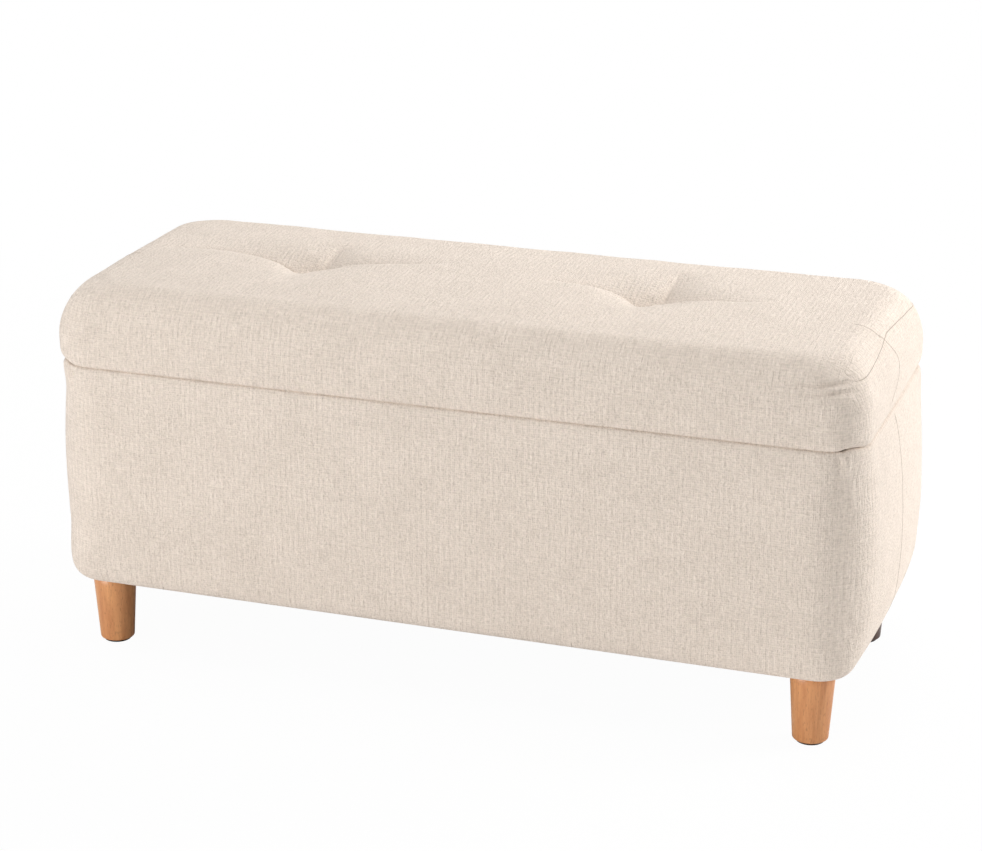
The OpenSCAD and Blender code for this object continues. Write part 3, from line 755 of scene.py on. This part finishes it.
def base_cover():
    shell = Shell(BASE_NX, BASE_NY)
    shell.row(BOX_X - 16 * MM, BOX_Y - 21 * MM, 6 * MM, BASE_LOW)
    shell.row(BOX_X - 6 * MM, BOX_Y - 9 * MM, 14 * MM, BASE_LOW)
    for z in base_rows(40):
        hx, hy = base_half(z)
        shell.row(hx, hy, base_radius(z), z)
    for k in (0.25, 0.5, 0.75):
        hx, hy = base_half(RIM)
        shell.row(hx + k * (INNER_X - hx), hy + k * (INNER_Y - hy), base_radius(RIM) * (1 - k), RIM)
    clear = 1.7 * MM
    for down in (0, 2, 8, 16, 25, 35):
        shell.row(INNER_X - clear, INNER_Y - clear, 2 * MM, RIM - down * MM)
    co = np.array(shell.verts)
    on_end = smooth_step(np.abs(co[:, 0]), BOX_X, HALF_X - 16 * MM)
    co[:, 0] += np.sign(co[:, 0]) * end_crown(co[:, 1], co[:, 2]) * on_end
    near_rim = smooth_step(co[:, 2], RIM - 10 * MM, RIM)
    co[:, 2] += LIP * near_rim * at_edge(co[:, 0], co[:, 1]) * away_from_hinge(co[:, 1])
    upper = smooth_step(co[:, 2], RIM - 40 * MM, RIM)
    co[:, 2] += BASE_CORNER_LIFT * front_corner(co[:, 0], co[:, 1]) * upper
    obj = make_object("base_cover_fabric", co, shell.faces)
    co, n = positions(obj), normals(obj)
    soft = soft_noise(co, 110 * MM, 3) * 0.9 * MM + soft_noise(co, 40 * MM, 4) * 0.3 * MM
    outside = (np.abs(co[:, 0]) > BOX_X) | (np.abs(co[:, 1]) > BOX_Y)
    free = smooth_step(co[:, 2], BASE_LOW, BASE_LOW + 25 * MM) * outside
    free *= 1 - smooth_step(co[:, 2], RIM - 20 * MM, RIM - 4 * MM)
    set_positions(obj, co + n * (soft * free - corner_tuck(co))[:, None])
    add_thickness(obj, COVER)
    cloth_uv(obj)
    finish_piece(obj, LINEN, "base", "linen", "base_cover")
    return obj


base_piece = base_cover()


# ---------- padding ----------
FOAM_INSET = COVER + 0.5 * MM            # from the outside of a cover to the foam under it
RECESS_R = 30 * MM                       # plan radius of the foam's recess for the lid board


def lid_foam():
    """The foam inside the lid cover: over the board and down around its edge."""
    skin = lid_surface()
    hem = len(HEM_INSETS) * (2 * LID_NX + 2 * LID_NY)
    outer = make_object("lid_foam_skin", shape_lid(np.array(skin.verts)), skin.faces)
    co, n = positions(outer), normals(outer)
    co = co - n * (FOAM_INSET + corner_creases(co[:, 0], co[:, 1], co[:, 2]))[:, None]
    bpy.data.objects.remove(outer)
    shell = Shell(LID_NX, LID_NY)
    shell.verts = [tuple(v) for v in co[hem:]]
    shell.faces = [tuple(k - hem for k in face) for face in skin.faces if min(face) >= hem]
    for k in range(len(shell.i)):
        x, y, z = shell.verts[k]
        shell.verts[k] = (x, y, max(z, LID_LOW + FOAM_INSET))
    shell.last = list(range(len(shell.i)))
    gap = 0.3 * MM
    half_x, half_y = board_hi.x + gap, board_hi.y + gap
    shell.row(half_x, half_y, RECESS_R, LID_LOW + FOAM_INSET)
    shell.row(half_x, half_y, RECESS_R, board_hi.z + gap)

    def under(i, j, ring):
        x, y = outline((2 * i - LID_NX) / max(LID_NX - 2 * ring, 1),
                       (2 * j - LID_NY) / max(LID_NY - 2 * ring, 1),
                       half_x * (1 - 2 * ring / LID_NY), half_y * (1 - 2 * ring / LID_NY),
                       max(RECESS_R * (1 - 2 * ring / LID_NY), 0))
        return (float(x), float(y), board_hi.z + gap)

    shell.lattice(under)
    obj = point_up(make_object("lid_foam_block", shell.verts, shell.faces))
    finish_piece(obj, FOAM, "lid", "foam", "lid_foam")


def padded_slab(name, node, side, along_x):
    """A foam pad between the flat outside of the box and the inside of the cover."""
    lo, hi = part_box(node)
    steps, rows = (160, 34) if along_x else (60, 34)
    gap = 0.2 * MM                       # from the panel
    thin = 1.5 * MM                      # the least thickness, where the cover turns round a corner
    across = np.linspace(-1, 1, steps + 1)
    up = np.linspace(0, 1, rows + 1)
    verts = []
    for flat in (False, True):
        for u in up:
            z = lo.z + (hi.z - lo.z) * u
            hx, hy = base_half(z)
            hx, hy, r = hx - FOAM_INSET, hy - FOAM_INSET, base_radius(z) - FOAM_INSET
            end_x = hx - r + math.sqrt(r * r - (BOX_Y + thin - hy + r) ** 2)
            for s in across:
                if along_x:
                    x = s * end_x
                    over = max(abs(x) - (hx - r), 0)
                    y = hy - r + math.sqrt(r * r - over * over)
                    y -= float(corner_tuck(np.array([[x, y, z]]))[0])
                    verts.append((x, side * (BOX_Y + gap if flat else max(y, BOX_Y + thin)), z))
                else:
                    y = s * (BOX_Y - gap)
                    over = max(abs(y) - (hy - r), 0)
                    x = hx - r + math.sqrt(r * r - over * over) + float(end_crown(y, z))
                    verts.append((side * (BOX_X + gap if flat else x), y, z))
    n = steps + 1
    half = n * (rows + 1)
    faces = []
    for r in range(rows):
        for c in range(steps):
            a = r * n + c
            b = half + a
            faces += [(a, a + 1, a + n + 1, a + n), (b, b + n, b + n + 1, b + 1)]
    for c in range(steps):
        faces += [(c, half + c, half + c + 1, c + 1)]
        top = rows * n + c
        faces += [(top, top + 1, half + top + 1, half + top)]
    for r in range(rows):
        left, right = r * n, r * n + steps
        faces += [(left, left + n, half + left + n, half + left)]
        faces += [(right, half + right, half + right + n, right + n)]
    obj = point_up(make_object(name, verts, faces, smooth=False))
    finish_piece(obj, FOAM, "base", "foam", node)


lid_foam()
padded_slab("front_pad", "front_foam", -1, True)
padded_slab("back_pad", "back_foam", 1, True)
padded_slab("left_pad", "left_foam", -1, False)
padded_slab("right_pad", "right_foam", 1, False)


# ---------- linings and small soft pieces ----------
def storage_lining():
    """The cloth that lines the storage space, slightly loose on the long walls and floor."""
    lo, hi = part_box("base_lining")
    nx, ny = 120, 46
    soft = 5 * MM                        # the turn from wall to floor
    shell = Shell(nx, ny)
    for z in np.linspace(hi.z, lo.z + soft, 30):
        shell.row(hi.x, hi.y, 2 * MM, z)
    for t in np.linspace(0, math.pi / 2, 4)[1:]:
        inset = soft * (1 - math.cos(t))
        shell.row(hi.x - inset, hi.y - inset, 2 * MM, lo.z + soft * (1 - math.sin(t)))

    def floor_point(i, j, _ring):
        return ((2 * i / nx - 1) * (hi.x - soft), (2 * j / ny - 1) * (hi.y - soft), lo.z)

    shell.lattice(floor_point)
    co = np.array(shell.verts)
    loose = np.clip(0.5 + 0.5 * soft_noise(co, 150 * MM, 5) + 0.12 * soft_noise(co, 60 * MM, 6), 0, 1.2)
    long_wall = (np.abs(co[:, 1]) > hi.y - 1 * MM) & (np.abs(co[:, 0]) < hi.x - 20 * MM)
    below = np.clip((hi.z - co[:, 2]) / (30 * MM), 0, 1)
    co[:, 1] -= np.sign(co[:, 1]) * loose * 1.1 * MM * long_wall * below
    on_floor = (co[:, 2] < lo.z + 0.01 * MM) & (np.abs(co[:, 0]) < hi.x - 15 * MM)
    co[:, 2] += loose * 1.2 * MM * on_floor
    obj = add_thickness(make_object("storage_lining", co, shell.faces), 1 * MM, offset=1)
    finish_piece(point_up(obj), LINING, "base", "lining", "base_lining")


def flat_cloth(name, node, body, slot, material, radius, puff, pitch):
    """A thin cloth panel with rounded corners, puckered a little between its staples."""
    lo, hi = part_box(node)
    nx, ny = 200, 70
    shell = Shell(nx, ny)
    shell.row(hi.x, hi.y, radius, lo.z)

    def place(i, j, ring):
        x, y = outline((2 * i - nx) / max(nx - 2 * ring, 1), (2 * j - ny) / max(ny - 2 * ring, 1),
                       hi.x - 2 * hi.x * ring / nx, hi.y - 2 * hi.y * ring / ny,
                       max(radius * (1 - 2 * ring / ny), 0))
        return (float(x), float(y), lo.z)

    shell.lattice(place)
    co = np.array(shell.verts)
    edge = np.minimum(hi.x - np.abs(co[:, 0]), hi.y - np.abs(co[:, 1]))
    along = np.where(hi.x - np.abs(co[:, 0]) < hi.y - np.abs(co[:, 1]), co[:, 1], co[:, 0])
    pucker = 0.5 - 0.5 * np.cos(2 * math.pi * along / pitch)
    pucker = pucker * np.exp(-((edge - 14 * MM) / (14 * MM)) ** 2)
    wrinkle = np.clip(soft_noise(co, 130 * MM, 8) + 0.4, 0, 1) * smooth_step(edge, 10 * MM, 60 * MM)
    co[:, 2] -= puff * np.clip(0.7 * pucker + wrinkle, 0, 1)
    obj = add_thickness(make_object(name, co, shell.faces), hi.z - lo.z, offset=1)
    finish_piece(point_up(obj), material, body, slot, node)


def felt_dots():
    """Round felt pads on the rim, domed a little and soft at the edge."""
    lo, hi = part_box("rim_bumpers")
    radius = 6 * MM
    profile = [(0, hi.z), (radius * 0.6, hi.z - 0.1 * MM), (radius * 0.9, hi.z - 0.6 * MM),
               (radius, hi.z - 1.4 * MM), (radius, lo.z + 0.3 * MM),
               (radius - 0.3 * MM, lo.z), (0, lo.z)]
    for k, (sx, sy) in enumerate(((-1, -1), (1, -1), (1, 1), (-1, 1))):
        centre = (sx * (hi.x - radius), sy * (hi.y - radius))
        obj = turned("felt_dot_%d" % (k + 1), centre, profile, 32)
        finish_piece(obj, FELT, "base", "felt", "rim_bumpers")


def turned(name, centre, profile, around):
    """A closed solid of revolution about a vertical axis, from (radius, z) points, top to bottom."""
    cx, cy = centre
    verts = [(cx, cy, profile[0][1])]
    for r, z in profile[1:-1]:
        verts += [(cx + r * math.cos(2 * math.pi * k / around),
                   cy + r * math.sin(2 * math.pi * k / around), z) for k in range(around)]
    verts.append((cx, cy, profile[-1][1]))
    faces = [(0, 1 + k, 1 + (k + 1) % around) for k in range(around)]
    rows = len(profile) - 2
    for row in range(rows - 1):
        a, b = 1 + row * around, 1 + (row + 1) * around
        faces += [(a + k, b + k, b + (k + 1) % around, a + (k + 1) % around) for k in range(around)]
    last = 1 + (rows - 1) * around
    faces += [(len(verts) - 1, last + (k + 1) % around, last + k) for k in range(around)]
    return point_up(make_object(name, verts, faces))


storage_lining()
flat_cloth("lid_lining_cloth", "lid_lining", "lid", "lining", LINING, 10 * MM, 1.3 * MM, 80 * MM)
flat_cloth("dust_cloth", "dust_cover", "base", "dust_cloth", DUST, 12 * MM, 1.2 * MM, 78 * MM)
felt_dots()


# ---------- seams ----------
SEAM_R = 0.62 * MM
SEAM_SINK = 0.35 * MM                    # how deep a seam's middle lies in its cover


def tube(name, path, radius, sides=8):
    """A thin closed thread along a list of points, tapered at both ends."""
    verts, faces = [], []
    for k, p in enumerate(path):
        a, b = Vector(path[max(k - 1, 0)]), Vector(path[min(k + 1, len(path) - 1)])
        ahead = (b - a).normalized()
        aside = Vector((0.3, 0.2, 1)) if abs(ahead.z) < 0.8 else Vector((1, 0.1, 0))
        one = ahead.cross(aside).normalized()
        two = ahead.cross(one)
        end = min(k, len(path) - 1 - k)
        r = radius * min(1, 0.25 + 0.25 * end)
        for q in range(sides):
            t = 2 * math.pi * q / sides
            verts.append(Vector(p) + r * (one * math.cos(t) + two * math.sin(t)))
    for k in range(len(path) - 1):
        a, b = k * sides, (k + 1) * sides
        faces += [(a + q, a + (q + 1) % sides, b + (q + 1) % sides, b + q) for q in range(sides)]
    faces.append(tuple(range(sides))[::-1])
    faces.append(tuple(range(len(verts) - sides, len(verts))))
    return point_up(make_object(name, verts, faces))


def on_surface(tree, y, z, side, sink):
    """The point where a line along X from outside meets a cover, sunk a little into it."""
    hit = tree.ray_cast(Vector((side * 2, y, z)), Vector((-side, 0, 0)))[0]
    return None if hit is None else (hit.x - side * sink, hit.y, hit.z)


def from_above(tree, x, y, sink):
    """The same for a line straight down."""
    hit = tree.ray_cast(Vector((x, y, 2)), Vector((0, 0, -1)))[0]
    return None if hit is None else (hit.x, hit.y, hit.z - sink)


def tree_of(obj):
    return BVHTree.FromPolygons([v.co for v in obj.data.vertices],
                                [tuple(p.vertices) for p in obj.data.polygons])


def end_seam_z(y):
    """Height of the seam across each end of the lid."""
    fall = 13 * MM if y > 0 else 8 * MM
    bow = 5 * MM * math.sin(math.pi * min(-y / LID_Y, 1)) if y < 0 else 0
    return LID_EDGE - 17 * MM - fall * abs(y / LID_Y) ** 1.3 - bow


def lid_seam_y(z):
    """The lid's middle seam bows back half way down and swings to the front at the joint."""
    swing = 32 * MM * (1 - float(smooth_step(z, LID_LOW, LID_LOW + 36 * MM)))
    return -30 * MM + 31 * MM * math.exp(-((z - LID_LOW - 53 * MM) / (28 * MM)) ** 2) - swing


def base_seam_y(z):
    """The base's middle seam leans towards the front near the rim."""
    return -24 * MM + 6 * MM * (1 - math.exp((z - RIM) / (45 * MM)))


def seams():
    """The closing seams of the covers: across each end of the lid and up each end."""
    lid_tree, base_tree = tree_of(lid_piece), tree_of(base_piece)
    for side, word in ((1, "right"), (-1, "left")):
        across = [on_surface(lid_tree, y, end_seam_z(y), side, SEAM_SINK)
                  for y in np.linspace(34 * MM - LID_Y, LID_Y - 24 * MM, 90)]
        top = [from_above(lid_tree, side * x, -30 * MM, SEAM_SINK)
               for x in np.linspace(LID_X - 60 * MM, LID_X - 22 * MM, 16)]
        down = [on_surface(lid_tree, lid_seam_y(z), z, side, SEAM_SINK)
                for z in np.linspace(LID_EDGE - 12 * MM, LID_LOW + 8 * MM, 34)]
        up = [on_surface(base_tree, base_seam_y(z), z, side, SEAM_SINK)
              for z in np.linspace(RIM - 1 * MM, BASE_LOW + 8 * MM, 160)]
        for name, body, path in (("lid_%s_end_seam" % word, "lid", across),
                                 ("lid_%s_middle_seam" % word, "lid", top + down),
                                 ("base_%s_middle_seam" % word, "base", up)):
            path = [p for p in path if p]
            finish_piece(tube(name, path, SEAM_R), SEAM, body, "linen")


seams()


# ---------- legs ----------
FOOT_SHARE = 23 / 29                     # a leg's radius at the foot to its radius at the top


def turned_leg(node, material, slot):
    """A tapered round leg with softly rounded ends, around its bolt and glide."""
    lo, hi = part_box(node)
    cx, cy = (lo.x + hi.x) / 2, (lo.y + hi.y) / 2
    top_r = (hi.x - lo.x) / 2
    foot_r = top_r * FOOT_SHARE
    soft = 3 * MM
    profile = [(0.0, hi.z), (top_r - 1 * MM, hi.z), (top_r, hi.z - 1 * MM)]
    profile += [(top_r + (foot_r - top_r) * k / 8, hi.z - (hi.z - lo.z - soft) * k / 8)
                for k in range(1, 8)]
    profile += [(foot_r - soft * (1 - math.cos(t)), lo.z + soft * (1 - math.sin(t)))
                for t in np.linspace(0, math.pi / 2, 6)]
    profile += [(0.0, lo.z)]
    obj = turned(node.replace("leg", "turned_leg"), (cx, cy), profile, 64)
    return finish_piece(obj, material, "base", slot, node)


for node in ("front_left_leg", "front_right_leg"):
    turned_leg(node, BEECH, "beech")
for node in ("rear_left_leg", "rear_right_leg"):
    turned_leg(node, DARK, "dark_wood")


# ---------- floor, lights and camera ----------
def area_light(name, place, target, size, power):
    data = bpy.data.lights.new(name, "AREA")
    data.shape = "RECTANGLE"
    data.size, data.size_y = size
    data.energy = power
    obj = bpy.data.objects.new(name, data)
    obj.location = place
    obj.rotation_euler = (Vector(target) - Vector(place)).to_track_quat("-Z", "Y").to_euler()
    bpy.context.scene.collection.objects.link(obj)


AMBIENT = 0.327                          # strength of the white all round, as the bench gets it
FLOOR_HALF = 9.0
# each light: name, place, the point it faces, its width and height, its power in watts
LIGHTS = [
    ("left_fill", (-2.6, -3.0, 1.7), (0, 0, 0.3), (2.0, 2.0), 14),
    ("front_high", (0.8, -3.0, 2.6), (0, 0, 0.4), (2.0, 1.0), 6),
    ("left_low", (-2.2, -3.2, 0.40), (0, 0, 0.3), (2.4, 0.7), 58),
    ("right_rim", (3.0, 1.6, 1.5), (0.4, 0, 0.3), (1.4, 1.6), 89),
    ("back_top", (-0.4, 2.4, 2.2), (0, 0, 0.4), (2.4, 1.2), 27),
    ("top", (0.0, 0.0, 3.0), (0, 0, 0.4), (2.4, 1.8), 28),
]
FLOOR_GLOW = 0.97                        # how much of the floor near the bench the camera sees as lit
FLOOR_NEAR = 0.8                         # all of it is seen as lit from FLOOR_FAR outwards
FLOOR_FAR = 2.2


def white_floor():
    """A matte white floor that the camera sees mostly lit, so that its shadows stay pale."""
    m = Nodes("white_floor")
    m.set(Base_Color=(0.92, 0.92, 0.92, 1), Roughness=1.0, Specular_IOR_Level=0.0)
    glow = m.add("ShaderNodeEmission")
    glow.inputs["Color"].default_value = (1, 1, 1, 1)
    mix = m.add("ShaderNodeMixShader")
    seen = m.add("ShaderNodeLightPath").outputs["Is Camera Ray"]
    away = m.add("ShaderNodeVectorMath", operation="LENGTH")
    m.link(m.add("ShaderNodeTexCoord").outputs["Object"], away.inputs[0])
    reach = m.add("ShaderNodeMapRange")
    m.link(away.outputs["Value"], reach.inputs[0])
    for socket, value in zip(reach.inputs[1:5], (FLOOR_NEAR, FLOOR_FAR, FLOOR_GLOW, 1.0)):
        socket.default_value = value
    m.link(m.math("MULTIPLY", seen, reach.outputs[0]), mix.inputs[0])
    m.link(m.shader.outputs[0], mix.inputs[1])
    m.link(glow.outputs[0], mix.inputs[2])
    m.link(mix.outputs[0], m.tree.nodes["Material Output"].inputs["Surface"])
    return m.material


def studio():
    far = FLOOR_HALF
    floor = make_object("floor", [(-far, -far, 0), (far, -far, 0), (far, far, 0), (-far, far, 0)],
                        [(0, 1, 2, 3)])
    paint(floor, white_floor())
    world = bpy.data.worlds.new("studio")
    world.use_nodes = True
    tree = world.node_tree
    seen = tree.nodes.new("ShaderNodeLightPath")
    level = tree.nodes.new("ShaderNodeMix")
    level.inputs[2].default_value = AMBIENT
    level.inputs[3].default_value = 1.0
    tree.links.new(seen.outputs["Is Camera Ray"], level.inputs[0])
    tree.links.new(level.outputs[0], tree.nodes["Background"].inputs[1])
    tree.nodes["Background"].inputs[0].default_value = (1, 1, 1, 1)
    bpy.context.scene.world = world
    for name, place, target, extent, power in LIGHTS:
        area_light(name, place, target, extent, power)


CAMERA_PLACE = (1.0998, -3.1798, 1.5037)  # fitted to the outline of the bench in the photograph
LOOKS_DOWN = 19.58                       # degrees
LOOKS_LEFT = 19.07


def camera():
    data = bpy.data.cameras.new("camera")
    data.lens = 98.5
    data.sensor_width = 36
    data.clip_end = 50
    obj = bpy.data.objects.new("camera", data)
    obj.location = CAMERA_PLACE
    obj.rotation_euler = (math.radians(90 - LOOKS_DOWN), 0, math.radians(LOOKS_LEFT))
    bpy.context.scene.collection.objects.link(obj)
    bpy.context.scene.camera = obj


camera()
studio()
bpy.context.scene.view_settings.view_transform = "Standard"
